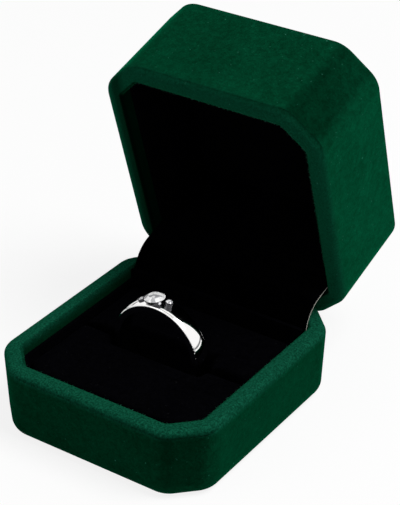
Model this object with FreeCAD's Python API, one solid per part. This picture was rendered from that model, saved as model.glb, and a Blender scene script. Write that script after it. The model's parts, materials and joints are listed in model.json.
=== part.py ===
import FreeCAD, Part
import math
import os

# A hinged ring box with cut corners: two moulded shells covered in velvet, a pinned
# snap hinge hidden behind a curved cover, slotted pads, and the ring that stands in them.
# Frame: X to the right, Y to the back where the hinge is, Z up, origin at the centre of
# the face that the box rests on. The lid is modelled shut and then swung open.
# All lengths are in millimetres and all angles in degrees.

V = FreeCAD.Vector

# Outside of the box
box_width = 50.0
box_depth = 54.6
corner_cut = 7.0            # leg of the 45 degree cut across each upright corner
corner_round = 5.8          # rounding of the two edges that each cut leaves
base_height = 15.8
base_draft = 0.04           # the base narrows by this much per millimetre towards its foot
foot_round = 3.2
lid_height = 22.7
lid_draft = 0.01
lid_top_round = 0.9
rim_round = 1.4             # outer edge of both rims
rim_inner_round = 0.9
shut_gap = 0.3              # between the two rims when the lid is shut
open_angle = 73.2           # from shut to the open stop

# Layers of the walls
velvet = 0.6
side_shell = 2.6
flat_shell = 1.6            # floor of the base and top of the lid
turn_in = 8.0               # how far the velvet turns in over a rim
turn_under = 9.0            # how far it turns under the base, seen from the outside
inner_corner_round = 1.2
felt_gap = 0.15
felt_corner = 1.5

# Linings and pads
fit_gap = 0.1               # between pieces that are pushed or glued into each other
lining = 0.8
base_lining_drop = 2.5      # from the rim down to the lining's edge
base_lining_back_drop = 0.3
lid_lining_drop = 3.0
pad_drop = 2.9              # from the base's rim down to the pads
pad_cover = 0.5
pad_edge_round = 1.1
lid_pad = 2.5

# Hinge
hinge_length = 26.0
hinge_inset = 2.25          # from the back of the box in to the pin
hinge_drop = 2.15           # from the base's rim down to the pin
pin_radius = 0.9
pin_running_gap = 0.05
pin_fixed_gap = 0.01
pin_overhang = 0.3
leaf = 0.4                  # sheet thickness of the leaves and of the rolled knuckles
knuckles = 5
knuckle_gap = 0.16
barrel_room = 0.25
base_leaf_drop = 8.2        # from the pin's axis to the leaf's edge
lid_leaf_rise = 11.0
rivet_spacing = 9.0
rivet_radius = 0.7
rivet_head_radius = 1.3
rivet_head_height = 0.4
rivet_grip = 1.8            # how far a rivet reaches into the shell
base_rivet_drop = 5.0
lid_rivet_rise = 7.0
spring_width = 6.0
spring_sheet = 0.3
spring_tip_gap = 0.15
rim_swing_gap = 0.17        # between the back of the base's rim and the lid's rim passing it

# Cover over the hinge, on an arc about the pin
cover_inner_radius = 6.5
cover_card = 0.25
cover_velvet = 0.35
cover_side_gap = 0.3
cover_tuck_angle = 10.0     # its free end at rest, above the level of the pin
cover_height = 13.4         # above the pin, up inside the shut lid
cover_swing_gap = 0.2

# Ring
ring_inner_radius = 8.65
ring_thickness = 1.65
ring_dome = 0.24            # from the sides of the outer face up to its crown
ring_edge_round = 0.34
ring_width = 4.0
ring_x = -0.85
ring_y = -0.85
ring_floor_gap = 0.2
slot_side_gap = 0.3
slot_end_gap = 0.7
slot_round = 0.8
stone_radius = 2.15
stone_angle = 96.9          # round the ring from +X
accent_radius = 0.72
accent_spread = 18.0        # from the middle stone to each side stone
stone_sides = 16
bezel_wall = 0.2
bezel_lip = 0.15
seat_depth = 0.9            # how far a setting is sunk into the ring
middle_rise = 0.5           # from the ring's crown up to the middle stone's girdle
right_rise = 0.95           # the same for the side stones
left_rise = 0.15
light_hole = 0.45           # these six are shares of a stone's radius
girdle_height = 0.06
pavilion_depth = 0.86
crown_height = 0.3
table_width = 0.57
culet_width = 0.04
cup_foot = 0.62             # narrow end of a setting, as a share of its wide end

# Sizes that follow
half_width = box_width / 2
half_depth = box_depth / 2
wall = velvet + side_shell + velvet
pin_y = half_depth - hinge_inset
pin_z = base_height - hinge_drop
lid_rim_z = base_height + shut_gap
lid_top_z = lid_rim_z + lid_height
barrel_radius = pin_radius + pin_running_gap + leaf
shell_back_y = half_depth - velvet - side_shell
cover_outer_radius = cover_inner_radius + cover_card + cover_velvet
tray_back_y = pin_y - cover_outer_radius - cover_swing_gap
lid_lining_back_y = pin_y - cover_outer_radius
tray_inset = wall + fit_gap
pad_inset = tray_inset + lining + fit_gap
base_floor_z = velvet + flat_shell
tray_floor_z = base_floor_z + lining
pad_top_z = base_height - pad_drop
lid_ceiling_z = lid_top_z - velvet - flat_shell
ring_outer_radius = ring_inner_radius + ring_thickness
ring_z = tray_floor_z + ring_floor_gap + ring_outer_radius
slot_half_width = ring_width / 2 + slot_side_gap
slot_half_length = ring_outer_radius + slot_end_gap
hinge_room = hinge_length / 2 + pin_overhang + barrel_room

BEYOND = 100.0              # reaches past the whole box


def box(x0, x1, y0, y1, z0, z1):
    return Part.makeBox(x1 - x0, y1 - y0, z1 - z0, V(x0, y0, z0))


def rounded_outline(points, radius, z):
    """Closed outline through the corner points, each rounded by the radius, at height z."""
    corners = []
    for i, point in enumerate(points):
        here = V(point[0], point[1], z)
        back = (V(points[i - 1][0], points[i - 1][1], z) - here).normalize()
        ahead = points[(i + 1) % len(points)]
        ahead = (V(ahead[0], ahead[1], z) - here).normalize()
        half_turn = back.getAngle(ahead) / 2
        reach = radius / math.tan(half_turn)
        inward = (back + ahead).normalize()
        middle = here + inward * (radius / math.sin(half_turn) - radius)
        corners.append((here + back * reach, middle, here + ahead * reach))
    edges = []
    for i, (start, middle, end) in enumerate(corners):
        edges.append(Part.Arc(start, middle, end).toShape())
        edges.append(Part.LineSegment(end, corners[(i + 1) % len(corners)][0]).toShape())
    return Part.Wire(edges)


def octagon(inset, radius, z):
    """Plan of the box, moved in by the inset."""
    x = half_width - inset
    y = half_depth - inset
    leg = corner_cut - inset * (2 - math.sqrt(2))
    points = [(x, leg - y), (x, y - leg), (x - leg, y), (leg - x, y),
              (-x, y - leg), (-x, leg - y), (leg - x, -y), (x - leg, -y)]
    return rounded_outline(points, radius, z)


def insert_plan(inset, back_y, radius, z):
    """Plan of a lining or pad: the box's front corners, and a straight back."""
    x = half_width - inset
    y = half_depth - inset
    leg = corner_cut - inset * (2 - math.sqrt(2))
    points = [(x, leg - y), (x, back_y), (-x, back_y), (-x, leg - y), (leg - x, -y), (x - leg, -y)]
    return rounded_outline(points, radius, z)


def prism(outline, height):
    return Part.Face(outline).extrude(V(0, 0, height))


def octagon_prism(inset, radius, z0, z1):
    return prism(octagon(inset, radius, z0), z1 - z0)


def insert_prism(inset, back_y, radius, z0, z1):
    return prism(insert_plan(inset, back_y, radius, z0), z1 - z0)


def level_edges(shape, z):
    return [e for e in shape.Edges if abs(e.BoundBox.ZMin - z) < 1e-4 and abs(e.BoundBox.ZMax - z) < 1e-4]


def inset_of(point):
    """How far a point lies inside the outline of the box."""
    x = abs(point.x)
    y = abs(point.y)
    across = (half_width + half_depth - corner_cut - x - y) / math.sqrt(2)
    return min(half_width - x, half_depth - y, across)


def half_block(inset, rim_z, end_z, draft, end_round, edge_round):
    """Solid of one half from its rim to its far end, moved in by the inset, edges rounded."""
    rim_side = abs(end_z - rim_z)
    radius = corner_round - inset
    near = octagon(inset + draft * inset, radius, rim_z)
    far = octagon(inset + draft * (rim_side + inset), radius, end_z)
    block = Part.makeLoft([far, near], True, True)
    block = block.makeFillet(end_round, level_edges(block, end_z))
    return block.makeFillet(edge_round, level_edges(block, rim_z))


def about_pin(radius, x0, x1):
    """Cylinder on the axis of the hinge pin."""
    return Part.makeCylinder(radius, x1 - x0, V(x0, pin_y, pin_z), V(1, 0, 0))


def swing_relief(radius):
    """What is taken off the back of the base's rim so that the lid's rim can pass it."""
    corner = box(-BEYOND, BEYOND, pin_y, pin_y + 2 * hinge_inset, pin_z, pin_z + 2 * hinge_drop)
    return corner.cut(about_pin(radius, -BEYOND, BEYOND))


def shell_pair(rim_z, end_z, draft, end_round):
    """The rigid shell and the velvet round it, for one half; the cavity opens at the rim."""
    side = 1 if end_z > rim_z else -1
    outer = half_block(0, rim_z, end_z, draft, end_round, rim_round)
    inner_end_round = max(end_round - velvet, 0.3)
    core = half_block(velvet, rim_z + side * velvet, end_z - side * velvet, draft,
                      inner_end_round, rim_round - velvet)
    past_rim = rim_z - side * 1.0
    floor_z = end_z - side * (velvet + flat_shell)
    turn_z = rim_z + side * turn_in

    def cavity(inset, radius, z0, z1):
        return octagon_prism(inset, radius, min(z0, z1), max(z0, z1))

    shell = core.cut(cavity(velvet + side_shell, inner_corner_round + velvet, past_rim, floor_z))
    cover = outer.cut(cavity(wall, inner_corner_round, past_rim, turn_z))
    mouth = [e for e in level_edges(cover, rim_z) if inset_of(e.CenterOfMass) > wall - 0.1]
    cover = cover.makeFillet(rim_inner_round, mouth)
    cover = cover.cut(shell)
    cover = cover.cut(cavity(velvet + side_shell, inner_corner_round + velvet, turn_z, floor_z))
    return shell, cover


def rivet_places():
    return [-rivet_spacing, 0.0, rivet_spacing]


def rivet(x, z, seat_y, grip_end_y):
    """Rivet along Y: a domed head in front of the seat, and a shank back into the shell."""
    shank = Part.makeCylinder(rivet_radius, grip_end_y - seat_y, V(x, seat_y, z), V(0, 1, 0))
    dome_radius = (rivet_head_radius ** 2 + rivet_head_height ** 2) / (2 * rivet_head_height)
    dome = Part.makeSphere(dome_radius, V(x, seat_y - rivet_head_height + dome_radius, z))
    front = Part.makeCylinder(rivet_head_radius, rivet_head_height,
                              V(x, seat_y - rivet_head_height, z), V(0, 1, 0))
    return shank.fuse(dome.common(front)).removeSplitter()


def rivet_hole(x, z):
    """Hole through a leaf and on into the shell."""
    return Part.makeCylinder(rivet_radius, leaf + spring_sheet + rivet_grip,
                             V(x, shell_back_y - leaf - spring_sheet, z), V(0, 1, 0))


def knuckle_spans(first):
    """The X limits of every second knuckle, from the one named first."""
    pitch = hinge_length / knuckles
    spans = []
    for i in range(first, knuckles, 2):
        x0 = -hinge_length / 2 + i * pitch + knuckle_gap / 2
        spans.append((x0, x0 + pitch - knuckle_gap))
    return spans


def hinge_leaf(first, side, reach, bore_gap):
    """A leaf against the inside of the back wall, with its knuckles rolled round the pin."""
    front_y = shell_back_y - leaf
    clear = barrel_radius + knuckle_gap
    plate_z = sorted((pin_z + side * clear, pin_z + side * reach))
    shape = box(-hinge_length / 2, hinge_length / 2, front_y, shell_back_y, plate_z[0], plate_z[1])
    for x0, x1 in knuckle_spans(first):
        arm_z = sorted((pin_z, pin_z + side * clear))
        arm = box(x0, x1, front_y, shell_back_y, arm_z[0], arm_z[1])
        roll = about_pin(barrel_radius, x0, x1)
        shape = shape.fuse(arm).fuse(roll)
    return shape.removeSplitter().cut(about_pin(pin_radius + bore_gap, -BEYOND, BEYOND))


def snap_spring():
    """Flat strip under the middle base rivet, whose free end bears on the middle knuckle."""
    foot_y = shell_back_y - leaf
    tip_y = pin_y - barrel_radius - spring_tip_gap
    foot_z = pin_z - base_leaf_drop + leaf
    bend_z = pin_z - barrel_radius - 2 * leaf
    line = [(foot_y, foot_z), (foot_y, bend_z - 2 * leaf), (tip_y, bend_z), (tip_y, pin_z + leaf)]
    back = [(y - spring_sheet, z) for y, z in reversed(line)]
    outline = [V(-spring_width / 2, y, z) for y, z in line + back]
    return Part.Face(Part.makePolygon(outline + outline[:1])).extrude(V(spring_width, 0, 0))


def cover_strip(inner, outer):
    """One layer of the hinge cover, in the shut position: an arc about the pin, then straight."""
    start = math.radians(180.0 - cover_tuck_angle + open_angle)
    middle = (start + math.pi) / 2
    top_z = pin_z + cover_height

    def at(radius, angle):
        return V(-BEYOND, pin_y + radius * math.cos(angle), pin_z + radius * math.sin(angle))

    def up(radius):
        return V(-BEYOND, pin_y - radius, top_z)

    edges = [Part.Arc(at(outer, start), at(outer, middle), at(outer, math.pi)).toShape(),
             Part.LineSegment(at(outer, math.pi), up(outer)).toShape(),
             Part.LineSegment(up(outer), up(inner)).toShape(),
             Part.LineSegment(up(inner), at(inner, math.pi)).toShape(),
             Part.Arc(at(inner, math.pi), at(inner, middle), at(inner, start)).toShape(),
             Part.LineSegment(at(inner, start), at(outer, start)).toShape()]
    sheet = Part.Face(Part.Wire(edges)).extrude(V(2 * BEYOND, 0, 0))
    room = octagon_prism(wall + cover_side_gap, inner_corner_round, 0, lid_top_z)
    return sheet.common(room)


def pad_pair(front):
    """Foam and cover of the front or the back pad; the slot for the ring is between them."""
    back_y = tray_back_y - lining - fit_gap
    keep_y = (-BEYOND, ring_y) if front else (ring_y, BEYOND)
    trim_y = (-BEYOND, ring_y - pad_cover) if front else (ring_y + pad_cover, BEYOND)

    def slot(grow):
        x = slot_half_length + grow
        y = slot_half_width + grow
        corners = [(ring_x - x, ring_y - y), (ring_x + x, ring_y - y),
                   (ring_x + x, ring_y + y), (ring_x - x, ring_y + y)]
        return prism(rounded_outline(corners, slot_round + grow, tray_floor_z), base_height)

    block = insert_prism(pad_inset, back_y, inner_corner_round / 2, tray_floor_z, pad_top_z)
    block = block.common(box(-BEYOND, BEYOND, keep_y[0], keep_y[1], 0, BEYOND)).cut(slot(0))
    block = block.makeFillet(pad_edge_round / 2, level_edges(block, pad_top_z))
    foam = insert_prism(pad_inset + pad_cover, back_y - pad_cover, inner_corner_round / 2,
                        tray_floor_z, pad_top_z - pad_cover)
    foam = foam.common(box(-BEYOND, BEYOND, trim_y[0], trim_y[1], 0, BEYOND)).cut(slot(pad_cover))
    return foam, block.cut(foam)


def lid_pad_pair():
    """Foam and cover of the flat cushion against the top of the lid."""
    back_y = lid_lining_back_y - lining - fit_gap
    top_z = lid_ceiling_z - lining
    low_z = top_z - lid_pad
    block = insert_prism(pad_inset, back_y, inner_corner_round / 2, low_z, top_z)
    block = block.makeFillet(pad_edge_round, level_edges(block, low_z))
    foam = insert_prism(pad_inset + pad_cover, back_y - pad_cover, inner_corner_round / 2,
                        low_z + pad_cover, top_z)
    foam = foam.makeFillet(pad_edge_round - pad_cover, level_edges(foam, low_z + pad_cover))
    return foam, block.cut(foam)


def on_ring(shape, angle):
    """Turn a piece that was made along +Z from the ring's centre to its place on the ring."""
    shape.rotate(V(0, 0, 0), V(0, 1, 0), 90.0 - angle)
    shape.translate(V(ring_x, ring_y, ring_z))
    return shape


def ring_blank():
    """The band before it is drilled: flat inside, slightly domed outside, with round outer edges."""
    half = ring_width / 2
    side = ring_outer_radius - ring_dome
    face = side - ring_edge_round
    crown = half - ring_edge_round
    bulge = ring_edge_round * math.sqrt(0.5)

    def at(radius, y):
        return V(radius, y, 0)

    edges = [Part.LineSegment(at(ring_inner_radius, -half), at(ring_inner_radius, half)).toShape(),
             Part.LineSegment(at(ring_inner_radius, half), at(face, half)).toShape(),
             Part.Arc(at(face, half), at(face + bulge, crown + bulge), at(side, crown)).toShape(),
             Part.Arc(at(side, crown), at(ring_outer_radius, 0), at(side, -crown)).toShape(),
             Part.Arc(at(side, -crown), at(face + bulge, -crown - bulge), at(face, -half)).toShape(),
             Part.LineSegment(at(face, -half), at(ring_inner_radius, -half)).toShape()]
    blank = Part.Face(Part.Wire(edges)).revolve(V(0, 0, 0), V(0, 1, 0), 360)
    blank.translate(V(ring_x, ring_y, ring_z))
    return blank


def facets(radius_low, z_low, radius_high, z_high):
    """Many-sided frustum about Z."""
    rings = []
    for radius, z in ((radius_low, z_low), (radius_high, z_high)):
        points = []
        for i in range(stone_sides):
            turn = 2 * math.pi * i / stone_sides
            points.append(V(radius * math.cos(turn), radius * math.sin(turn), z))
        rings.append(Part.makePolygon(points + points[:1]))
    return Part.makeLoft(rings, True, True)


def stone(radius, girdle_z):
    """Round cut stone: a cone below the girdle, a bevel and a flat table above it."""
    belt_z = girdle_z + girdle_height * radius
    pavilion = facets(culet_width * radius, girdle_z - pavilion_depth * radius, radius, girdle_z)
    belt = facets(radius, girdle_z, radius, belt_z)
    crown = facets(radius, belt_z, table_width * radius, belt_z + crown_height * radius)
    return pavilion.fuse(belt).fuse(crown).removeSplitter()


def setting(radius, girdle_z):
    """Tapered cup that holds a stone by its girdle, before it is hollowed."""
    foot_z = ring_outer_radius - seat_depth
    outside = radius + bezel_wall
    return Part.makeCone(cup_foot * outside, outside, girdle_z + bezel_lip - foot_z, V(0, 0, foot_z))


def ring_pieces():
    """The band, the three settings, the middle stone and the two side stones."""
    band = ring_blank()
    settings = []
    stones = []
    places = [(stone_radius, middle_rise, stone_angle),
              (accent_radius, right_rise, stone_angle - accent_spread),
              (accent_radius, left_rise, stone_angle + accent_spread)]
    for radius, rise, angle in places:
        girdle_z = ring_outer_radius + rise
        cup = setting(radius, girdle_z)
        drill = Part.makeCylinder(light_hole * radius, girdle_z)
        band = band.cut(on_ring(cup.fuse(drill), angle))
        gem = stone(radius, girdle_z)
        mouth = Part.makeCylinder(radius, radius, V(0, 0, girdle_z))
        cup = cup.cut(gem).cut(drill).cut(mouth)
        settings.append(on_ring(cup, angle))
        stones.append(on_ring(gem, angle))
    middle_cup = settings[0]
    settings = [middle_cup] + [cup.cut(middle_cup) for cup in settings[1:]]
    return band, Part.Compound(settings), stones[0], Part.Compound(stones[1:])


def base_pieces():
    shell, cover = shell_pair(base_height, 0, base_draft, foot_round)
    swing_radius = hinge_drop + shut_gap - rim_swing_gap
    shell = shell.cut(swing_relief(swing_radius - velvet))
    cover = cover.cut(swing_relief(swing_radius))

    # room for the barrel in the back wall, and for the leaf under the turned-in velvet
    barrel_low_z = pin_z - barrel_radius - barrel_room
    past_z = base_height + shut_gap
    shell = shell.cut(box(-hinge_room, hinge_room, shell_back_y - velvet, half_depth - velvet,
                          barrel_low_z, past_z))
    cover = cover.cut(box(-hinge_room, hinge_room, shell_back_y - 2 * velvet, half_depth - velvet,
                          barrel_low_z, past_z))
    notch_z = pin_z + hinge_drop / 2
    cover = cover.cut(box(-hinge_room, hinge_room, shell_back_y, half_depth + velvet, notch_z, past_z))
    cover = cover.cut(box(-hinge_room, hinge_room, shell_back_y - 2 * velvet, shell_back_y,
                          pin_z - base_leaf_drop - barrel_room, barrel_low_z))

    window = octagon_prism(turn_under, felt_corner, -1.0, velvet)
    cover = cover.cut(window)
    felt = octagon_prism(turn_under + felt_gap, felt_corner, 0, velvet)

    tray = insert_prism(tray_inset, tray_back_y, inner_corner_round, base_floor_z,
                        base_height - base_lining_back_drop)
    hollow = insert_prism(tray_inset + lining, tray_back_y - lining, inner_corner_round / 2,
                          tray_floor_z, base_height)
    low_front = box(-BEYOND, BEYOND, -BEYOND, tray_back_y - lining, base_height - base_lining_drop, BEYOND)
    tray = tray.cut(hollow).cut(low_front)

    leaf_shape = hinge_leaf(1, -1, base_leaf_drop, pin_fixed_gap)
    spring = snap_spring()
    rivets = []
    for x in rivet_places():
        z = pin_z - base_rivet_drop
        hole = rivet_hole(x, z)
        shell = shell.cut(hole)
        leaf_shape = leaf_shape.cut(hole)
        seat_y = shell_back_y - leaf
        if abs(x) < spring_width / 2:
            spring = spring.cut(hole)
            seat_y -= spring_sheet
        rivets.append(rivet(x, z, seat_y, shell_back_y + rivet_grip))
    pin = about_pin(pin_radius, -hinge_length / 2 - pin_overhang, hinge_length / 2 + pin_overhang)
    foam_front, cover_front = pad_pair(True)
    foam_back, cover_back = pad_pair(False)
    return {
        "base_shell": shell, "base_velvet": cover, "bottom_felt": felt, "base_lining": tray,
        "pad_foam_front": foam_front, "pad_cover_front": cover_front,
        "pad_foam_back": foam_back, "pad_cover_back": cover_back,
        "hinge_base_leaf": leaf_shape, "hinge_pin": pin, "snap_spring": spring,
        "base_rivets": Part.Compound(rivets),
    }


def lid_pieces():
    shell, cover = shell_pair(lid_rim_z, lid_top_z, lid_draft, lid_top_round)
    leaf_top_z = pin_z + lid_leaf_rise + barrel_room
    cover = cover.cut(box(-hinge_room, hinge_room, shell_back_y - 2 * velvet, shell_back_y,
                          base_height, leaf_top_z))

    low_z = lid_rim_z + lid_lining_drop
    insert = insert_prism(tray_inset, lid_lining_back_y, inner_corner_round, low_z, lid_ceiling_z)
    hollow = insert_prism(tray_inset + lining, lid_lining_back_y - lining, inner_corner_round / 2,
                          low_z, lid_ceiling_z - lining)
    insert = insert.cut(hollow)

    leaf_shape = hinge_leaf(0, 1, lid_leaf_rise, pin_running_gap)
    rivets = []
    for x in rivet_places():
        z = pin_z + lid_rivet_rise
        hole = rivet_hole(x, z)
        shell = shell.cut(hole)
        leaf_shape = leaf_shape.cut(hole)
        rivets.append(rivet(x, z, shell_back_y - leaf, shell_back_y + rivet_grip))
    foam, foam_cover = lid_pad_pair()
    card_radius = cover_inner_radius + cover_card
    pieces = {
        "lid_shell": shell, "lid_velvet": cover, "lid_lining": insert,
        "lid_pad_foam": foam, "lid_pad_cover": foam_cover,
        "hinge_lid_leaf": leaf_shape, "lid_rivets": Part.Compound(rivets),
        "hinge_cover_card": cover_strip(cover_inner_radius, card_radius),
        "hinge_cover_velvet": cover_strip(card_radius, cover_outer_radius),
    }
    for shape in pieces.values():
        shape.rotate(V(0, pin_y, pin_z), V(1, 0, 0), -open_angle)
    return pieces


def main():
    os.makedirs("parts", exist_ok=True)
    pieces = base_pieces()
    pieces.update(lid_pieces())
    band, settings, middle_stone, side_stones = ring_pieces()
    pieces["ring_band"] = band
    pieces["stone_settings"] = settings
    pieces["middle_stone"] = middle_stone
    pieces["side_stones"] = side_stones
    for name, shape in pieces.items():
        solids = shape.Solids
        print(name, "solids", len(solids), "volume %.1f" % shape.Volume, "valid", shape.isValid())
        kept = solids[0] if len(solids) == 1 else Part.Compound(solids)
        kept.exportStep("parts/" + name + ".step")


main()
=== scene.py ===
import json
import math
import random

import bmesh
import bpy
from mathutils import Matrix, Vector

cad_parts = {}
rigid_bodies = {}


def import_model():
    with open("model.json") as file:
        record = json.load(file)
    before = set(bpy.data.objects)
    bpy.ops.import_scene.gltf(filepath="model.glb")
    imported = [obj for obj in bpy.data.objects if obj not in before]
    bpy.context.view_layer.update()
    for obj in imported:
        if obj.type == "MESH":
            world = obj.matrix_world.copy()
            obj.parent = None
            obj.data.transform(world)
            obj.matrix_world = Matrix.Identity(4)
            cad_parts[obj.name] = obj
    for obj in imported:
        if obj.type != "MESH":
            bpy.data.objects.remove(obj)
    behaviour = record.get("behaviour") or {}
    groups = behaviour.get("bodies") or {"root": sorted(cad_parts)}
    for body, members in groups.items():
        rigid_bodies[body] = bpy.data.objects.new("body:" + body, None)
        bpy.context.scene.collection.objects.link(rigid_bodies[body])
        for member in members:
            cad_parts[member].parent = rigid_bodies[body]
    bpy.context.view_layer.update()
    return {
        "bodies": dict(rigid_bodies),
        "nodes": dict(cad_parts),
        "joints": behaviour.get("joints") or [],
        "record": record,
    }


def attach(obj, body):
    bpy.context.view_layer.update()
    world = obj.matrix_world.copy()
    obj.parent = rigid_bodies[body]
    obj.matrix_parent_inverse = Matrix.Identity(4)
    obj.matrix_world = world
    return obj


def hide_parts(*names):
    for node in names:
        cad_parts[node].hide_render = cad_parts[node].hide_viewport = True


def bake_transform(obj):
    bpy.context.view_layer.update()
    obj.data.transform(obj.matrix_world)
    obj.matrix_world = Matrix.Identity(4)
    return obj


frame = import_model()

# Camera: a long lens a third of a metre away, to the right of the box's front and looking
# down into it. It is aimed a little up and to the right of the middle of the base's rim.
aim = Vector((0, 0, 0.0158))
view_azimuth = math.radians(34.155)
view_elevation = math.radians(30.728)
view_roll = math.radians(0.218)
view_distance = 0.34985
view_side_step = 0.006573
view_rise = 0.016398

back = Vector((math.sin(view_azimuth) * math.cos(view_elevation),
               -math.cos(view_azimuth) * math.cos(view_elevation),
               math.sin(view_elevation)))
level = Vector((math.cos(view_azimuth), math.sin(view_azimuth), 0))
right = Matrix.Rotation(view_roll, 3, back) @ level
up = back.cross(right)
camera_data = bpy.data.cameras.new("camera")
camera_data.lens = 126.56
camera_data.sensor_width = 36
camera_data.clip_start = 0.01
camera_data.clip_end = 20
camera = bpy.data.objects.new("camera", camera_data)
camera.matrix_world = Matrix((right, up, back)).transposed().to_4x4()
camera.location = aim + back * view_distance + right * view_side_step + up * view_rise
bpy.context.scene.collection.objects.link(camera)
bpy.context.scene.camera = camera

# Studio light: a large soft lamp high on the right, a weaker one in front on the left,
# and an even sky. The camera sees the sky as plain white, and metal and glass see it with
# a thin dark strip along the horizon, where the studio's white walls end.
box_middle = Vector((0, 0, 0.03))
sky_light = 0.3
dark_strip = (0.15, 0.15, 0.16, 1)
dark_strip_top = 0.03
white_wall_from = 0.07


def soft_lamp(name, place, width, power):
    data = bpy.data.lights.new(name, "AREA")
    data.shape = "DISK"
    data.size = width
    data.energy = power
    lamp = bpy.data.objects.new(name, data)
    lamp.location = place
    towards_box = box_middle - Vector(place)
    lamp.rotation_euler = towards_box.to_track_quat("-Z", "Y").to_euler()
    bpy.context.scene.collection.objects.link(lamp)


soft_lamp("key_lamp", place=(0.55, 0.1, 0.95), width=0.6, power=11.0)
soft_lamp("fill_lamp", place=(-0.5, -0.8, 0.7), width=0.5, power=0.8)

sky = bpy.data.worlds.new("sky")
sky.use_nodes = True
sky_nodes = sky.node_tree.nodes
sky_links = sky.node_tree.links
rays = sky_nodes.new("ShaderNodeLightPath")
gloss_or_glass = sky_nodes.new("ShaderNodeMath")
gloss_or_glass.operation = "MAXIMUM"
sky_links.new(rays.outputs["Is Glossy Ray"], gloss_or_glass.inputs[0])
sky_links.new(rays.outputs["Is Transmission Ray"], gloss_or_glass.inputs[1])
looking = sky_nodes.new("ShaderNodeTexCoord")
look_height = sky_nodes.new("ShaderNodeSeparateXYZ")
sky_links.new(looking.outputs["Generated"], look_height.inputs[0])
studio = sky_nodes.new("ShaderNodeValToRGB")
studio.color_ramp.elements[0].position = dark_strip_top
studio.color_ramp.elements[0].color = dark_strip
studio.color_ramp.elements[1].position = white_wall_from
studio.color_ramp.elements[1].color = (1, 1, 1, 1)
sky_links.new(look_height.outputs["Z"], studio.inputs["Fac"])
seen_plain = sky_nodes.new("ShaderNodeMix")
seen_plain.data_type = "RGBA"
sky_links.new(rays.outputs["Is Camera Ray"], seen_plain.inputs[0])
seen_plain.inputs[6].default_value = (sky_light, sky_light, sky_light, 1)
seen_plain.inputs[7].default_value = (1, 1, 1, 1)
seen_sky = sky_nodes.new("ShaderNodeMix")
seen_sky.data_type = "RGBA"
sky_links.new(gloss_or_glass.outputs[0], seen_sky.inputs[0])
sky_links.new(seen_plain.outputs[2], seen_sky.inputs[6])
sky_links.new(studio.outputs["Color"], seen_sky.inputs[7])
sky_links.new(seen_sky.outputs[2], sky_nodes["Background"].inputs["Color"])
bpy.context.scene.world = sky
bpy.context.scene.view_settings.view_transform = "Standard"

# Table: a pale matt board under the box, wide enough to fill every view. The camera sees
# part of it as plain white, so that only a soft shadow is left under the box.
table_half_width = 3.0
table_own_white = 0.85
table_grey = (0.85, 0.85, 0.85, 1)

shape = bmesh.new()
bmesh.ops.create_grid(shape, x_segments=1, y_segments=1, size=table_half_width)
table_mesh = bpy.data.meshes.new("table")
shape.to_mesh(table_mesh)
shape.free()
table = bpy.data.objects.new("table", table_mesh)
bpy.context.scene.collection.objects.link(table)

table_paint = bpy.data.materials.new("table_paint")
table_paint.use_nodes = True
table_nodes = table_paint.node_tree.nodes
table_links = table_paint.node_tree.links
board = table_nodes["Principled BSDF"]
board.inputs["Base Color"].default_value = table_grey
board.inputs["Roughness"].default_value = 1
board.inputs["Specular IOR Level"].default_value = 0
plain_white = table_nodes.new("ShaderNodeEmission")
table_rays = table_nodes.new("ShaderNodeLightPath")
white_share = table_nodes.new("ShaderNodeMath")
white_share.operation = "MULTIPLY"
white_share.inputs[1].default_value = table_own_white
seen_table = table_nodes.new("ShaderNodeMixShader")
table_links.new(table_rays.outputs["Is Camera Ray"], white_share.inputs[0])
table_links.new(white_share.outputs[0], seen_table.inputs["Fac"])
table_links.new(board.outputs[0], seen_table.inputs[1])
table_links.new(plain_white.outputs[0], seen_table.inputs[2])
table_links.new(seen_table.outputs[0], table_nodes["Material Output"].inputs["Surface"])
table_mesh.materials.append(table_paint)

# Outer covering of the base and the lid: short green rayon pile flocked on to the moulded
# shells and turned in over the rims. The pile lies in small patches and opens at the rims.
# Its colour also carries painted light: a painted sheen that darkens faces seen straight on,
# a painted highlight along the rims, and painted shade in the hollow and on the left rim.
nap_depth = 0.00012
# Painted sheen: a face seen straight on has its colour painted darker, down to the last share below,
# and a face seen at a slant keeps its full colour.
straight_on = 0.15
at_a_slant = 0.34
shade_straight_on = 0.26


def spread(tree, source, low, high, to_low=0.0, to_high=1.0, soft=False):
    """Carry a value from one range to another, held at the ends."""
    node = tree.nodes.new("ShaderNodeMapRange")
    node.interpolation_type = "SMOOTHSTEP" if soft else "LINEAR"
    node.inputs["From Min"].default_value = low
    node.inputs["From Max"].default_value = high
    node.inputs["To Min"].default_value = to_low
    node.inputs["To Max"].default_value = to_high
    tree.links.new(source, node.inputs["Value"])
    return node.outputs["Result"]


def combine(tree, kind, first, second):
    """Join two values, or a value and a plain number, by this kind of arithmetic."""
    node = tree.nodes.new("ShaderNodeMath")
    node.operation = kind
    for place, source in enumerate((first, second)):
        if isinstance(source, float):
            node.inputs[place].default_value = source
        else:
            tree.links.new(source, node.inputs[place])
    return node.outputs[0]


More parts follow.
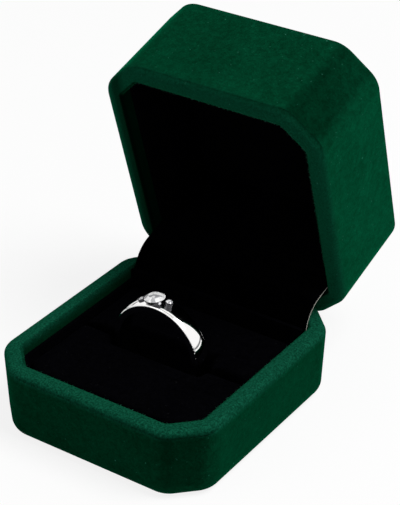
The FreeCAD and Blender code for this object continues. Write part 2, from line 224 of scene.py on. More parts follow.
def velvet_pile_group():
    """Patches of raised and lying pile, single tufts, specks of lint, and pile worn open at rims, where
    the colour also carries a painted highlight.
    """
    tree = bpy.data.node_groups.new("velvet_pile", "ShaderNodeTree")
    for name, kind, value in (("Vector", "NodeSocketVector", None),
                              ("Lying Colour", "NodeSocketColor", (0, 0, 0, 1)),
                              ("Raised Colour", "NodeSocketColor", (0, 0, 0, 1)),
                              ("Worn And Highlit Colour", "NodeSocketColor", (0, 0, 0, 1)),
                              ("Lint Colour", "NodeSocketColor", (0, 0, 0, 1)),
                              ("Worn And Highlit Pile", "NodeSocketFloat", 0.0)):
        socket = tree.interface.new_socket(name, in_out="INPUT", socket_type=kind)
        if value is not None:
            socket.default_value = value
    tree.interface.new_socket("Colour", in_out="OUTPUT", socket_type="NodeSocketColor")
    tree.interface.new_socket("Roughness", in_out="OUTPUT", socket_type="NodeSocketFloat")
    tree.interface.new_socket("Height", in_out="OUTPUT", socket_type="NodeSocketFloat")
    nodes = tree.nodes
    links = tree.links
    given = nodes.new("NodeGroupInput")
    made = nodes.new("NodeGroupOutput")

    def noise(per_metre, detail, roughness, warp):
        texture = nodes.new("ShaderNodeTexNoise")
        texture.inputs["Scale"].default_value = per_metre
        texture.inputs["Detail"].default_value = detail
        texture.inputs["Roughness"].default_value = roughness
        texture.inputs["Distortion"].default_value = warp
        links.new(given.outputs["Vector"], texture.inputs["Vector"])
        return texture.outputs[0]

    def mix_colour(factor, first, second):
        node = nodes.new("ShaderNodeMix")
        node.data_type = "RGBA"
        links.new(factor, node.inputs[0])
        links.new(first, node.inputs[6])
        links.new(second, node.inputs[7])
        return node.outputs[2]

    broad = spread(tree, noise(per_metre=95, detail=2, roughness=0.5, warp=0.4), 0.35, 0.65)
    patches = spread(tree, noise(per_metre=780, detail=4, roughness=0.66, warp=0.5), 0.36, 0.66)
    tufts = noise(per_metre=2600, detail=3, roughness=0.7, warp=0.3)
    specks = noise(per_metre=1500, detail=1, roughness=0.5, warp=0)
    lie = combine(tree, "ADD", combine(tree, "MULTIPLY", broad, 0.3),
                  combine(tree, "MULTIPLY", patches, 0.7))
    tone = mix_colour(lie, given.outputs["Lying Colour"], given.outputs["Raised Colour"])
    # Where the rim mask is given, the pile is worn open and its colour also carries a painted
    # highlight.
    worn_and_highlit = combine(tree, "MULTIPLY", given.outputs["Worn And Highlit Pile"],
                     spread(tree, tufts, 0.38, 0.6, to_low=0.35))
    tone = mix_colour(worn_and_highlit, tone, given.outputs["Worn And Highlit Colour"])
    lint = spread(tree, specks, 0.74, 0.80, to_high=0.8)
    tone = mix_colour(lint, tone, given.outputs["Lint Colour"])
    grain = nodes.new("ShaderNodeVectorMath")
    grain.operation = "SCALE"
    links.new(tone, grain.inputs[0])
    links.new(spread(tree, tufts, 0.34, 0.66, to_low=0.75, to_high=1.25), grain.inputs["Scale"])
    links.new(grain.outputs[0], made.inputs["Colour"])
    links.new(spread(tree, lie, 0, 1, to_low=0.95, to_high=0.82), made.inputs["Roughness"])
    links.new(combine(tree, "ADD", tufts, combine(tree, "MULTIPLY", patches, 0.5)),
              made.inputs["Height"])
    return tree


velvet_pile = velvet_pile_group()


def velvet(name, lying, raised, worn_and_highlit, lint, sheen, sheen_colour, relief):
    """A velvet material whose colour is painted darker where it is looked at straight into the
    pile, a painted sheen. Its node "pile" takes a rim mask, and the node that scales the pile's
    colour takes any further painted shade in Scale."""
    cloth = bpy.data.materials.new(name)
    cloth.use_nodes = True
    nodes = cloth.node_tree.nodes
    links = cloth.node_tree.links
    pile = nodes.new("ShaderNodeGroup")
    pile.node_tree = velvet_pile
    pile.name = "pile"
    pile.inputs["Lying Colour"].default_value = lying
    pile.inputs["Raised Colour"].default_value = raised
    pile.inputs["Worn And Highlit Colour"].default_value = worn_and_highlit
    pile.inputs["Lint Colour"].default_value = lint
    place = nodes.new("ShaderNodeTexCoord")
    place.name = "place"
    turned = nodes.new("ShaderNodeMapping")
    turned.name = "turned"
    links.new(place.outputs["Object"], turned.inputs["Vector"])
    links.new(turned.outputs[0], pile.inputs["Vector"])
    nap = nodes.new("ShaderNodeBump")
    nap.inputs["Strength"].default_value = relief
    nap.inputs["Distance"].default_value = nap_depth
    links.new(pile.outputs["Height"], nap.inputs["Height"])
    # Painted sheen: the pile's colour is scaled down where a face is seen straight on.
    facing = nodes.new("ShaderNodeLayerWeight")
    painted_sheen = spread(cloth.node_tree, facing.outputs["Facing"], straight_on, at_a_slant,
                   to_low=shade_straight_on, soft=True)
    painted_sheen_pile = nodes.new("ShaderNodeVectorMath")
    painted_sheen_pile.name = "painted_sheen_pile"
    painted_sheen_pile.operation = "SCALE"
    links.new(pile.outputs["Colour"], painted_sheen_pile.inputs[0])
    links.new(painted_sheen, painted_sheen_pile.inputs["Scale"])
    shader = nodes["Principled BSDF"]
    links.new(painted_sheen_pile.outputs[0], shader.inputs["Base Color"])
    links.new(pile.outputs["Roughness"], shader.inputs["Roughness"])
    links.new(nap.outputs[0], shader.inputs["Normal"])
    shader.inputs["Specular IOR Level"].default_value = 0
    shader.inputs["Sheen Weight"].default_value = sheen
    shader.inputs["Sheen Roughness"].default_value = 0.4
    shader.inputs["Sheen Tint"].default_value = sheen_colour
    return cloth


# The lid's patterns are laid out as if it were shut, so that both rims are level: the pin is
# where the lid turns, and the other places are on the shut box, the last four from the left
# side in towards the hollow.
pin = Vector((0, 0.02505, 0.01365))
open_angle = math.radians(73.2)
base_rim = 0.0158
lid_rim = 0.0161
# Reach below the rim of the worn pile and its painted highlight.
worn_and_highlit_reach = 0.0022
# Faces turned towards the hollow's middle get painted shade, fading out between these two values.
faces_hollow = -0.006
faces_outside = 0.002
# The left rim's outer edge is painted lighter by this many times the share by which its inner edge is
# painted darker.
outer_edge_painted_gain = 2
outer_left = -0.0250
rim_left = -0.0226
wall_left = -0.0212
hollow_left = -0.0195


def green_velvet(name, to_shut, rim, inward, hollow, turned_in_painted_shade, left_rim_painted_share, lying, raised, worn_and_highlit, sheen):
    """Green velvet whose pile is worn open near the rim at this height of the shut box, where its
    colour is also painted lighter as a painted highlight and isn't painted darker from straight
    on. Where it is turned in towards the middle of the hollow its colour is painted darker, a
    painted shade. Along the left rim its outer edge is painted lighter and its inner edge painted
    darker, by this share, standing for pile rolled inwards."""
    cloth = velvet(name, lying, raised, worn_and_highlit, lint=(0.02, 0.11, 0.07, 1), sheen=sheen,
                   sheen_colour=(0.002, 0.5, 0.2, 1), relief=0.35)
    tree = cloth.node_tree
    nodes = tree.nodes
    links = tree.links
    nodes["turned"].inputs["Rotation"].default_value = to_shut.to_euler()
    nodes["turned"].inputs["Location"].default_value = to_shut.to_translation()
    shut_place = nodes.new("ShaderNodeSeparateXYZ")
    links.new(nodes["turned"].outputs[0], shut_place.inputs[0])
    # Near the rim the pile is worn open, and its lighter colour there is also a painted highlight.
    near_rim = spread(tree, shut_place.outputs["Z"], rim + inward * worn_and_highlit_reach, rim, soft=True)
    # Painted shade: faces turned in towards the middle of the hollow are painted darker, down to the
    # given share.
    from_middle = nodes.new("ShaderNodeVectorMath")
    from_middle.operation = "SUBTRACT"
    from_middle.inputs[1].default_value = hollow
    links.new(nodes["place"].outputs["Object"], from_middle.inputs[0])
    faces_away = nodes.new("ShaderNodeVectorMath")
    faces_away.operation = "DOT_PRODUCT"
    links.new(from_middle.outputs[0], faces_away.inputs[0])
    links.new(nodes["place"].outputs["Normal"], faces_away.inputs[1])
    outside = spread(tree, faces_away.outputs["Value"], faces_hollow, faces_outside, to_low=turned_in_painted_shade)
    links.new(combine(tree, "MULTIPLY", near_rim, outside), nodes["pile"].inputs["Worn And Highlit Pile"])
    # Painted light along the left rim: the outer edge is painted lighter and the inner edge painted
    # darker.
    across = spread(tree, shut_place.outputs["X"], outer_left, rim_left,
                    to_low=-outer_edge_painted_gain * left_rim_painted_share, to_high=left_rim_painted_share)
    on_left = spread(tree, shut_place.outputs["X"], hollow_left, wall_left)
    left_rim_painted_light = combine(tree, "MULTIPLY", combine(tree, "MULTIPLY", across, on_left), near_rim)
    shade = combine(tree, "MULTIPLY", outside, combine(tree, "SUBTRACT", 1.0, left_rim_painted_light))
    # Near the rim the painted sheen doesn't darken the colour; the painted sheen and the painted shade
    # then scale it together.
    painted_sheen = combine(tree, "MAXIMUM", near_rim, nodes["painted_sheen_pile"].inputs["Scale"].links[0].from_socket)
    links.new(combine(tree, "MULTIPLY", shade, painted_sheen), nodes["painted_sheen_pile"].inputs["Scale"])
    return cloth


def dress(node_name, material):
    """Give a carried-over CAD piece its real finish."""
    piece = frame["nodes"][node_name]
    piece.data.materials.clear()
    piece.data.materials.append(material)


shut_lid = (Matrix.Translation(pin) @ Matrix.Rotation(open_angle, 4, "X")
            @ Matrix.Translation(-pin))
# The lid's copy of the same velvet is painted about 1.7 times lighter than the base's, with more sheen,
# as painted light for the lid catching more light. The base's rim gets the brighter painted highlight.
dress("base_velvet", green_velvet(
    "green_velvet_base", Matrix.Identity(4), base_rim, inward=-1, hollow=(0, -0.002, 0.008),
    turned_in_painted_shade=0.7, left_rim_painted_share=0.0, lying=(0.0004, 0.014, 0.0055, 1), raised=(0.0006, 0.027, 0.011, 1),
    worn_and_highlit=(0.0045, 0.068, 0.037, 1), sheen=0.15))
dress("lid_velvet", green_velvet(
    "green_velvet_lid", shut_lid, lid_rim, inward=1,
    hollow=shut_lid.inverted() @ Vector((0, -0.002, 0.026)),
    turned_in_painted_shade=0.12, left_rim_painted_share=0.6, lying=(0.0006, 0.023, 0.0092, 1), raised=(0.001, 0.046, 0.0195, 1),
    worn_and_highlit=(0.0022, 0.04, 0.0205, 1), sheen=0.2))

# Worn pile: where the covering turns into the hollow at a rim, single fibres stand out of it
# into the opening. Each is a closed three-sided spike, at most 0.5 mm long, and none reaches
# past the rim, so the shut box keeps its gap. The back has none, nor the lid's left side.
fibre_lengths = (0.0002, 0.0005)
fibre_half_width = 0.00003
fibre_lean = 0.7
fibre_rim_gap = 0.00002
fibre_back_limit = 0.012
fibre_tries = 3
fibre_patches_per_metre = 900
faces_inwards = 0.004
faces_outwards = 0.2
all_round = -0.03
right_of_lid_wall = -0.019

loose_pile = bpy.data.materials.new("loose_pile")
loose_pile.use_nodes = True
loose_nodes = loose_pile.node_tree.nodes
loose_links = loose_pile.node_tree.links
loose_place = loose_nodes.new("ShaderNodeTexCoord")
loose_patches = loose_nodes.new("ShaderNodeTexNoise")
loose_patches.inputs["Scale"].default_value = fibre_patches_per_metre
loose_links.new(loose_place.outputs["Object"], loose_patches.inputs["Vector"])
loose_tone = loose_nodes.new("ShaderNodeValToRGB")
loose_tone.color_ramp.elements[0].position = 0.4
loose_tone.color_ramp.elements[0].color = (0.002, 0.035, 0.019, 1)
loose_tone.color_ramp.elements[1].position = 0.62
loose_tone.color_ramp.elements[1].color = (0.03, 0.13, 0.085, 1)
loose_links.new(loose_patches.outputs[0], loose_tone.inputs["Fac"])
loose_shader = loose_nodes["Principled BSDF"]
loose_links.new(loose_tone.outputs["Color"], loose_shader.inputs["Base Color"])
loose_shader.inputs["Roughness"].default_value = 0.9
loose_shader.inputs["Specular IOR Level"].default_value = 0


def rim_fibres(name, cover, body, to_shut, rim, inward, leftmost, count, seed):
    """Fibres on the rounded inner edge of a cover's rim, at this height of the shut box."""
    chance = random.Random(seed)
    mesh = frame["nodes"][cover].data
    mesh.calc_loop_triangles()
    turn = to_shut.to_3x3()
    edge_faces = []
    for face in mesh.loop_triangles:
        normal = turn @ face.normal
        to_hollow = -normal.xy.dot((to_shut @ face.center).xy)
        if to_hollow > faces_inwards and -normal.z * inward > faces_outwards:
            edge_faces.append(face)
    areas = [face.area for face in edge_faces]
    shape = bmesh.new()
    made = 0
    for face in chance.choices(edge_faces, weights=areas, k=fibre_tries * count):
        first, second = sorted((chance.random(), chance.random()))
        a, b, c = (to_shut @ mesh.vertices[i].co for i in face.vertices)
        root = a * first + b * (second - first) + c * (1 - second)
        if root.y > fibre_back_limit or root.x < leftmost:
            continue
        lean = Vector([chance.uniform(-fibre_lean, fibre_lean) for _ in range(3)])
        way = (turn @ face.normal + lean).normalized()
        tip = root + way * chance.uniform(*fibre_lengths)
        if (tip.z - rim) * inward < fibre_rim_gap:
            tip.z = rim + fibre_rim_gap * inward
        stands = (tip - root).to_track_quat("Z", "Y").to_matrix().to_4x4()
        bmesh.ops.create_cone(shape, cap_ends=True, segments=3, radius1=fibre_half_width, radius2=0,
                              depth=(tip - root).length,
                              matrix=to_shut.inverted() @ Matrix.Translation((root + tip) / 2) @ stands)
        made += 1
        if made == count:
            break
    fibre_mesh = bpy.data.meshes.new(name)
    shape.to_mesh(fibre_mesh)
    shape.free()
    fibres = bpy.data.objects.new(name, fibre_mesh)
    bpy.context.scene.collection.objects.link(fibres)
    fibre_mesh.materials.append(loose_pile)
    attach(fibres, body)


rim_fibres("base_rim_fibres", "base_velvet", "base", Matrix.Identity(4), base_rim,
           inward=-1, leftmost=all_round, count=1300, seed=7)
rim_fibres("lid_rim_fibres", "lid_velvet", "lid", shut_lid, lid_rim,
           inward=1, leftmost=right_of_lid_wall, count=900, seed=11)

# Shells: the base and the lid are moulded in dark polystyrene, matt and slightly rippled,
# and hidden by the flock except in the hinge recess.
moulded_plastic = bpy.data.materials.new("moulded_plastic")
moulded_plastic.use_nodes = True
plastic_nodes = moulded_plastic.node_tree.nodes
plastic_links = moulded_plastic.node_tree.links
plastic_place = plastic_nodes.new("ShaderNodeTexCoord")
ripple = plastic_nodes.new("ShaderNodeTexNoise")
ripple.inputs["Scale"].default_value = 420
ripple.inputs["Detail"].default_value = 3
plastic_links.new(plastic_place.outputs["Object"], ripple.inputs["Vector"])
plastic_tone = plastic_nodes.new("ShaderNodeValToRGB")
plastic_tone.color_ramp.elements[0].position = 0.35
plastic_tone.color_ramp.elements[0].color = (0.0025, 0.010, 0.006, 1)
plastic_tone.color_ramp.elements[1].position = 0.65
plastic_tone.color_ramp.elements[1].color = (0.004, 0.016, 0.010, 1)
plastic_links.new(ripple.outputs[0], plastic_tone.inputs["Fac"])
plastic_gloss = plastic_nodes.new("ShaderNodeMapRange")
plastic_gloss.inputs["To Min"].default_value = 0.42
plastic_gloss.inputs["To Max"].default_value = 0.6
plastic_links.new(ripple.outputs[0], plastic_gloss.inputs["Value"])
plastic_relief = plastic_nodes.new("ShaderNodeBump")
plastic_relief.inputs["Strength"].default_value = 0.15
plastic_relief.inputs["Distance"].default_value = 0.0001
plastic_links.new(ripple.outputs[0], plastic_relief.inputs["Height"])
plastic_shader = plastic_nodes["Principled BSDF"]
plastic_links.new(plastic_tone.outputs["Color"], plastic_shader.inputs["Base Color"])
plastic_links.new(plastic_gloss.outputs["Result"], plastic_shader.inputs["Roughness"])
plastic_links.new(plastic_relief.outputs[0], plastic_shader.inputs["Normal"])
dress("base_shell", moulded_plastic)
dress("lid_shell", moulded_plastic)

# Foot: a sheet of pressed dark felt glued under the base. Its fibres lie in all
# directions and leave a cloudy, slightly hairy face.


def fibre_cloud_group():
    """Cloudy tone and relief of a pressed or flocked sheet."""
    tree = bpy.data.node_groups.new("fibre_cloud", "ShaderNodeTree")
    tree.interface.new_socket("Dark", in_out="INPUT", socket_type="NodeSocketColor")
    tree.interface.new_socket("Light", in_out="INPUT", socket_type="NodeSocketColor")
    scale = tree.interface.new_socket("Fibres per Metre", in_out="INPUT", socket_type="NodeSocketFloat")
    scale.default_value = 3000
    tree.interface.new_socket("Colour", in_out="OUTPUT", socket_type="NodeSocketColor")
    tree.interface.new_socket("Height", in_out="OUTPUT", socket_type="NodeSocketFloat")
    given = tree.nodes.new("NodeGroupInput")
    made = tree.nodes.new("NodeGroupOutput")
    place = tree.nodes.new("ShaderNodeTexCoord")
    fibres = tree.nodes.new("ShaderNodeTexNoise")
    fibres.inputs["Detail"].default_value = 3
    fibres.inputs["Roughness"].default_value = 0.65
    fibres.inputs["Distortion"].default_value = 1.6
    tree.links.new(place.outputs["Object"], fibres.inputs["Vector"])
    tree.links.new(given.outputs["Fibres per Metre"], fibres.inputs["Scale"])
    clouds = tree.nodes.new("ShaderNodeTexNoise")
    clouds.inputs["Scale"].default_value = 240
    clouds.inputs["Detail"].default_value = 2
    tree.links.new(place.outputs["Object"], clouds.inputs["Vector"])
    both = tree.nodes.new("ShaderNodeMath")
    both.operation = "MULTIPLY_ADD"
    both.inputs[1].default_value = 0.6
    tree.links.new(fibres.outputs[0], both.inputs[0])
    tree.links.new(clouds.outputs[0], both.inputs[2])
    level_out = tree.nodes.new("ShaderNodeMapRange")
    level_out.inputs["From Min"].default_value = 0.55
    level_out.inputs["From Max"].default_value = 1.05
    tree.links.new(both.outputs[0], level_out.inputs["Value"])
    tone = tree.nodes.new("ShaderNodeMix")
    tone.data_type = "RGBA"
    tree.links.new(level_out.outputs["Result"], tone.inputs[0])
    tree.links.new(given.outputs["Dark"], tone.inputs[6])
    tree.links.new(given.outputs["Light"], tone.inputs[7])
    tree.links.new(tone.outputs[2], made.inputs["Colour"])
    tree.links.new(fibres.outputs[0], made.inputs["Height"])
    return tree


fibre_cloud = fibre_cloud_group()


def fibre_sheet(name, dark, light, fibres_per_metre, relief):
    sheet = bpy.data.materials.new(name)
    sheet.use_nodes = True
    nodes = sheet.node_tree.nodes
    links = sheet.node_tree.links
    cloud = nodes.new("ShaderNodeGroup")
    cloud.node_tree = fibre_cloud
    cloud.inputs["Dark"].default_value = dark
    cloud.inputs["Light"].default_value = light
    cloud.inputs["Fibres per Metre"].default_value = fibres_per_metre
    nap = nodes.new("ShaderNodeBump")
    nap.inputs["Strength"].default_value = relief
    nap.inputs["Distance"].default_value = 0.0001
    links.new(cloud.outputs["Height"], nap.inputs["Height"])
    shader = nodes["Principled BSDF"]
    links.new(cloud.outputs["Colour"], shader.inputs["Base Color"])
    links.new(nap.outputs[0], shader.inputs["Normal"])
    shader.inputs["Roughness"].default_value = 0.95
    shader.inputs["Specular IOR Level"].default_value = 0
    return sheet


dress("bottom_felt", fibre_sheet(
    "foot_felt", dark=(0.003, 0.012, 0.007, 1), light=(0.008, 0.026, 0.016, 1),
    fibres_per_metre=2600, relief=0.5))

# Linings: folded trays of thin black flocked card, pushed into the base and the lid.
deep_black = (0.0006, 0.0006, 0.0009, 1)
raised_black = (0.0013, 0.0013, 0.0019, 1)
black_card = fibre_sheet("black_card", dark=deep_black, light=raised_black,
                         fibres_per_metre=4200, relief=0.25)
dress("base_lining", black_card)
dress("lid_lining", black_card)

# Pads: foam wrapped in black velvet, one in front of the ring, one behind it and one
# against the top of the lid. Each is made 0.3 mm small all round, with rounded edges and a
# low top, and swells under pressure as cloth until it fills its space and is crowned.
black_velvet = velvet("black_velvet", lying=deep_black, raised=raised_black,
                      worn_and_highlit=(0.002, 0.002, 0.003, 1), lint=(0.008, 0.008, 0.009, 1),
                      sheen=0.004, sheen_colour=(0.5, 0.5, 0.75, 1), relief=0.4)
pad_swell = 0.0003
pad_crown = 0.0004
pad_crown_fade = 0.003
pad_rounding = 0.0007
pad_grain = 0.0007
pad_enlarged = 40
enlarged_top_band = 0.05
swelling_pressure = 4
swelling_frames = 20


def nearest_on_side(point, first, second):
    share = (point - first).dot(second - first) / (second - first).length_squared
    return first + (second - first) * min(max(share, 0), 1)


def swollen(blown, outline):
    """Blow the enlarged pad up as cloth, and hold back every point that would leave its room."""
    start = [v.co.copy() for v in blown.data.vertices]
    cloth = blown.modifiers.new("cloth", "CLOTH")
    cloth.settings.use_pressure = True
    cloth.settings.uniform_pressure_force = swelling_pressure
    cloth.settings.effector_weights.gravity = 0
    cloth.point_cache.frame_start = 1
    cloth.point_cache.frame_end = swelling_frames
    for frame in range(1, swelling_frames + 1):
        bpy.context.scene.frame_set(frame)
    seen = blown.evaluated_get(bpy.context.evaluated_depsgraph_get())
    ends = [v.co.copy() for v in seen.data.vertices]
    blown.modifiers.remove(cloth)
    bpy.context.scene.frame_set(1)
    top = max(p.z for p in start)
    for vertex, was, now in zip(blown.data.vertices, start, ends):
        edge = min((was.xy - nearest_on_side(was.xy, outline[i - 1], outline[i])).length
                   for i in range(len(outline)))
        room = pad_swell
        if was.z > top - enlarged_top_band:
            room += pad_crown * (1 - math.exp(-edge / pad_enlarged / pad_crown_fade))
        move = now - was
        if move.length > room * pad_enlarged:
            move.length = room * pad_enlarged
        vertex.co = was + move


def pad(name, corners, low, high, place, body, cad_nodes):
    """A pad whose room is this outline, from low to high; its crowned face is at high."""
    inner = []
    for i, corner in enumerate(corners):
        before = (Vector(corner) - Vector(corners[i - 1])).normalized()
        after = (Vector(corners[(i + 1) % len(corners)]) - Vector(corner)).normalized()
        inward = Vector((-before.y - after.y, before.x + after.x)) / (1 + before.dot(after))
        inner.append((Vector(corner) + inward * pad_swell) * pad_enlarged)
    shape = bmesh.new()
    foot_height = (low + pad_swell) * pad_enlarged
    foot = shape.faces.new([shape.verts.new((p.x, p.y, foot_height)) for p in inner])
    raised = bmesh.ops.extrude_face_region(shape, geom=[foot])
    lifted = [v for v in raised["geom"] if isinstance(v, bmesh.types.BMVert)]
    bmesh.ops.translate(shape, verts=lifted,
                        vec=(0, 0, (high - low - 2 * pad_swell - pad_crown) * pad_enlarged))
    bmesh.ops.recalc_face_normals(shape, faces=shape.faces)
    bmesh.ops.bevel(shape, geom=shape.edges[:], offset=pad_rounding * pad_enlarged, segments=3,
                    profile=0.5, affect="EDGES")
    rough_mesh = bpy.data.meshes.new(name)
    shape.to_mesh(rough_mesh)
    shape.free()
    blown = bpy.data.objects.new(name, rough_mesh)
    bpy.context.scene.collection.objects.link(blown)
    remesh = blown.modifiers.new("remesh", "REMESH")
    remesh.mode = "VOXEL"
    remesh.voxel_size = pad_grain * pad_enlarged
    blown.data = bpy.data.meshes.new_from_object(
        blown.evaluated_get(bpy.context.evaluated_depsgraph_get()))
    blown.modifiers.clear()
    swollen(blown, inner)
    blown.modifiers.new("rounded", "SUBSURF").levels = 1
    blown.data = bpy.data.meshes.new_from_object(
        blown.evaluated_get(bpy.context.evaluated_depsgraph_get()))
    blown.modifiers.clear()
    blown.data.transform(place @ Matrix.Scale(1 / pad_enlarged, 4))
    blown.data.shade_smooth()
    blown.data.materials.clear()
    blown.data.materials.append(black_velvet)
    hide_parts(*cad_nodes)
    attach(blown, body)


pad_side = 0.0202
pad_front_end = -0.0225
pad_back_end = 0.01685
pad_cut = 0.00419
pad_low = 0.003
pad_high = 0.0131
ring_middle = Vector((-0.00085, -0.00085))
slot_side = Vector((0.011, 0.0023))
left_of_slot = ring_middle.x - slot_side.x
right_of_slot = ring_middle.x + slot_side.x
pad("pad_front", [(-pad_side, ring_middle.y), (-pad_side, pad_front_end + pad_cut),
                  (-pad_side + pad_cut, pad_front_end), (pad_side - pad_cut, pad_front_end),
                  (pad_side, pad_front_end + pad_cut), (pad_side, ring_middle.y),
                  (right_of_slot, ring_middle.y), (right_of_slot, ring_middle.y - slot_side.y),
                  (left_of_slot, ring_middle.y - slot_side.y), (left_of_slot, ring_middle.y)],
    pad_low, pad_high, Matrix.Identity(4), "base", ("pad_foam_front", "pad_cover_front"))
pad("pad_back", [(pad_side, ring_middle.y), (pad_side, pad_back_end), (-pad_side, pad_back_end),
                 (-pad_side, ring_middle.y), (left_of_slot, ring_middle.y),
                 (left_of_slot, ring_middle.y + slot_side.y),
                 (right_of_slot, ring_middle.y + slot_side.y), (right_of_slot, ring_middle.y)],
    pad_low, pad_high, Matrix.Identity(4), "base", ("pad_foam_back", "pad_cover_back"))

# The lid's pad is made lying on its back, with its face up, and turned over into the lid.
lid_pad_height = 0.0025
lid_pad_back_end = 0.01705
lid_top_inside = Matrix.Translation((0, 0, 0.0358))
turned_over = shut_lid.inverted() @ lid_top_inside @ Matrix.Rotation(math.pi, 4, "Y")
pad("lid_pad", [(pad_side, lid_pad_back_end), (-pad_side, lid_pad_back_end),
                (-pad_side, pad_front_end + pad_cut),
                (-pad_side + pad_cut, pad_front_end), (pad_side - pad_cut, pad_front_end),
                (pad_side, pad_front_end + pad_cut)],
    0.0, lid_pad_height, turned_over, "lid", ("lid_pad_foam", "lid_pad_cover"))

# Hinge cover: a strip of pale card 0.25 mm thick, faced with black velvet 0.35 mm deep, full
# width between the side walls. Its lower end hangs loose behind the pads, its middle goes
# round the pin, and its upper end is glued inside the lid.
cover_half_width = 0.0209
cover_low_end = 0.0088
cover_high_end = 0.0134
card_inside = 0.0065
card_outside = 0.00675
velvet_outside = 0.0071
hanging_steps = 12
arc_steps = 28
glued_steps = 14
pin_middle = Vector((pin.y, pin.z))

stations = []
for i in range(hanging_steps):
    below_pin = cover_low_end * (1 - i / hanging_steps)
    stations.append((pin_middle - Vector((0, below_pin)), Vector((-1, 0))))
for i in range(arc_steps + 1):
    angle = math.pi - open_angle * i / arc_steps
    stations.append((pin_middle, Vector((math.cos(angle), math.sin(angle)))))
outward = stations[-1][1]
up_the_lid = Vector((outward.y, -outward.x))
for i in range(1, glued_steps + 1):
    stations.append((pin_middle + up_the_lid * cover_high_end * i / glued_steps, outward))


def cover_layer(name, inside, outside, material, cad_node):
    """One layer of the strip, between two distances from the pin."""
    shape = bmesh.new()
    rows = []
    for centre, outward in stations:
        far = centre + outward * outside
        near = centre + outward * inside
        rows.append([shape.verts.new((x, p.x, p.y)) for x, p in (
            (-cover_half_width, far), (cover_half_width, far),
            (cover_half_width, near), (-cover_half_width, near))])
    for low_row, high_row in zip(rows, rows[1:]):
        for i in range(4):
            shape.faces.new((low_row[i - 1], low_row[i], high_row[i], high_row[i - 1]))
    shape.faces.new(rows[0])
    shape.faces.new(rows[-1])
    bmesh.ops.recalc_face_normals(shape, faces=shape.faces)
    layer_mesh = bpy.data.meshes.new(name)
    shape.to_mesh(layer_mesh)
    shape.free()
    layer = bpy.data.objects.new(name, layer_mesh)
    bpy.context.scene.collection.objects.link(layer)
    layer.data.materials.append(material)
    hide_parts(cad_node)
    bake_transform(layer)


pale_card = fibre_sheet("pale_card", dark=(0.3, 0.29, 0.26, 1), light=(0.4, 0.39, 0.35, 1),
                        fibres_per_metre=2400, relief=0.2)
cover_layer("cover_card", card_inside, card_outside, pale_card, "hinge_cover_card")
cover_layer("cover_velvet", card_outside, velvet_outside, black_velvet, "hinge_cover_velvet")

# Hinge, rivets and spring: a nickel-plated steel hinge, a blued steel spring and brass rivets.
# Fine marks run along the leaves, round the pin, across the spring and all ways on the rivets.


def polish_marks_group():
    """Fine marks left by rolling or polishing, as small changes of gloss and height."""
    tree = bpy.data.node_groups.new("polish_marks", "ShaderNodeTree")
    marks = tree.interface.new_socket("Stretch", in_out="INPUT", socket_type="NodeSocketVector")
    marks.default_value = (300, 9000, 9000)
    smooth = tree.interface.new_socket("Smooth", in_out="INPUT", socket_type="NodeSocketFloat")
    smooth.default_value = 0.1
    rough = tree.interface.new_socket("Rough", in_out="INPUT", socket_type="NodeSocketFloat")
    rough.default_value = 0.2
    tree.interface.new_socket("Roughness", in_out="OUTPUT", socket_type="NodeSocketFloat")
    tree.interface.new_socket("Height", in_out="OUTPUT", socket_type="NodeSocketFloat")
    given = tree.nodes.new("NodeGroupInput")
    made = tree.nodes.new("NodeGroupOutput")
    place = tree.nodes.new("ShaderNodeTexCoord")
    stretched = tree.nodes.new("ShaderNodeVectorMath")
    stretched.operation = "MULTIPLY"
    tree.links.new(place.outputs["Object"], stretched.inputs[0])
    tree.links.new(given.outputs["Stretch"], stretched.inputs[1])
    lines = tree.nodes.new("ShaderNodeTexNoise")
    lines.inputs["Scale"].default_value = 1
    lines.inputs["Detail"].default_value = 3
    tree.links.new(stretched.outputs[0], lines.inputs["Vector"])
    gloss = tree.nodes.new("ShaderNodeMapRange")
    gloss.inputs["From Min"].default_value = 0.3
    gloss.inputs["From Max"].default_value = 0.7
    tree.links.new(lines.outputs[0], gloss.inputs["Value"])
    tree.links.new(given.outputs["Smooth"], gloss.inputs["To Min"])
    tree.links.new(given.outputs["Rough"], gloss.inputs["To Max"])
    tree.links.new(gloss.outputs["Result"], made.inputs["Roughness"])
    tree.links.new(lines.outputs[0], made.inputs["Height"])
    return tree


polish_marks = polish_marks_group()


def metal(name, colour, smooth, rough, stretch, relief):
    alloy = bpy.data.materials.new(name)
    alloy.use_nodes = True
    nodes = alloy.node_tree.nodes
    links = alloy.node_tree.links
    marks = nodes.new("ShaderNodeGroup")
    marks.node_tree = polish_marks
    marks.inputs["Stretch"].default_value = stretch
    marks.inputs["Smooth"].default_value = smooth
    marks.inputs["Rough"].default_value = rough
    relief_node = nodes.new("ShaderNodeBump")
    relief_node.inputs["Strength"].default_value = relief
    relief_node.inputs["Distance"].default_value = 0.00002
    links.new(marks.outputs["Height"], relief_node.inputs["Height"])
    shader = nodes["Principled BSDF"]
    shader.inputs["Base Color"].default_value = colour
    shader.inputs["Metallic"].default_value = 1
    links.new(marks.outputs["Roughness"], shader.inputs["Roughness"])
    links.new(relief_node.outputs[0], shader.inputs["Normal"])
    return alloy


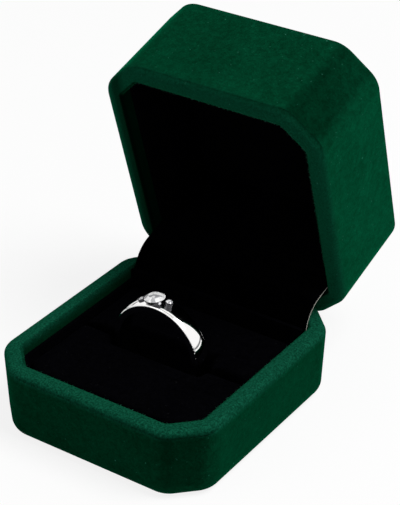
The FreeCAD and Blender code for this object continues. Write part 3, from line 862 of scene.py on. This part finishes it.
marks_along_leaves = (400, 9000, 9000)
marks_around_pin = (9000, 500, 500)
tumbled_marks = (3000, 3000, 3000)
hinge_steel = metal("hinge_steel", (0.55, 0.54, 0.52, 1), smooth=0.18, rough=0.34,
                    stretch=marks_along_leaves, relief=0.3)
dress("hinge_base_leaf", hinge_steel)
dress("hinge_lid_leaf", hinge_steel)
dress("hinge_pin", metal("pin_steel", (0.5, 0.49, 0.47, 1), smooth=0.2, rough=0.35,
                         stretch=marks_around_pin, relief=0.3))
dress("snap_spring", metal("spring_steel", (0.25, 0.27, 0.32, 1), smooth=0.2, rough=0.4,
                           stretch=marks_around_pin, relief=0.3))
rivet_metal = metal("rivet_metal", (0.6, 0.5, 0.28, 1), smooth=0.22, rough=0.38,
                    stretch=tumbled_marks, relief=0.3)
dress("base_rivets", rivet_metal)
dress("lid_rivets", rivet_metal)

# Ring: a heavy polished silver band, slightly domed, with drilled seats for three stones. The
# cups that hold the stones are of near-black metal.
even_marks = (2500, 2500, 2500)
dress("ring_band", metal("silver", (0.95, 0.94, 0.93, 1), smooth=0.03, rough=0.08,
                         stretch=even_marks, relief=0.04))
dress("stone_settings", metal("dull_silver", (0.05, 0.05, 0.055, 1), smooth=0.14, rough=0.3,
                              stretch=even_marks, relief=0.1))

# Stones: clear and round cut, one large and two small, each held in its cup by the rim.
# Their colour is painted in patches of white and grey, about 0.7 mm across, as painted glitter that
# stands for the light off their facets.
painted_glitter_patches_per_metre = 1500
clear_stone = bpy.data.materials.new("clear_stone")
clear_stone.use_nodes = True
stone_nodes = clear_stone.node_tree.nodes
stone_links = clear_stone.node_tree.links
stone_place = stone_nodes.new("ShaderNodeTexCoord")
painted_glitter = stone_nodes.new("ShaderNodeTexVoronoi")
painted_glitter.inputs["Scale"].default_value = painted_glitter_patches_per_metre
stone_links.new(stone_place.outputs["Object"], painted_glitter.inputs["Vector"])
painted_glitter_tone = stone_nodes.new("ShaderNodeValToRGB")
painted_glitter_tone.color_ramp.elements[0].position = 0.3
painted_glitter_tone.color_ramp.elements[0].color = (0.4, 0.4, 0.42, 1)
painted_glitter_tone.color_ramp.elements[1].position = 0.48
painted_glitter_tone.color_ramp.elements[1].color = (1, 1, 1, 1)
stone_links.new(painted_glitter.outputs["Color"], painted_glitter_tone.inputs["Fac"])
stone_shader = stone_nodes["Principled BSDF"]
# Painted glitter: the patches of white and grey go into the stones' own colour.
stone_links.new(painted_glitter_tone.outputs["Color"], stone_shader.inputs["Base Color"])
stone_shader.inputs["Roughness"].default_value = 0.0
stone_shader.inputs["Metallic"].default_value = 0
stone_shader.inputs["Transmission Weight"].default_value = 0.1
stone_shader.inputs["IOR"].default_value = 2.2
dress("middle_stone", clear_stone)
dress("side_stones", clear_stone)
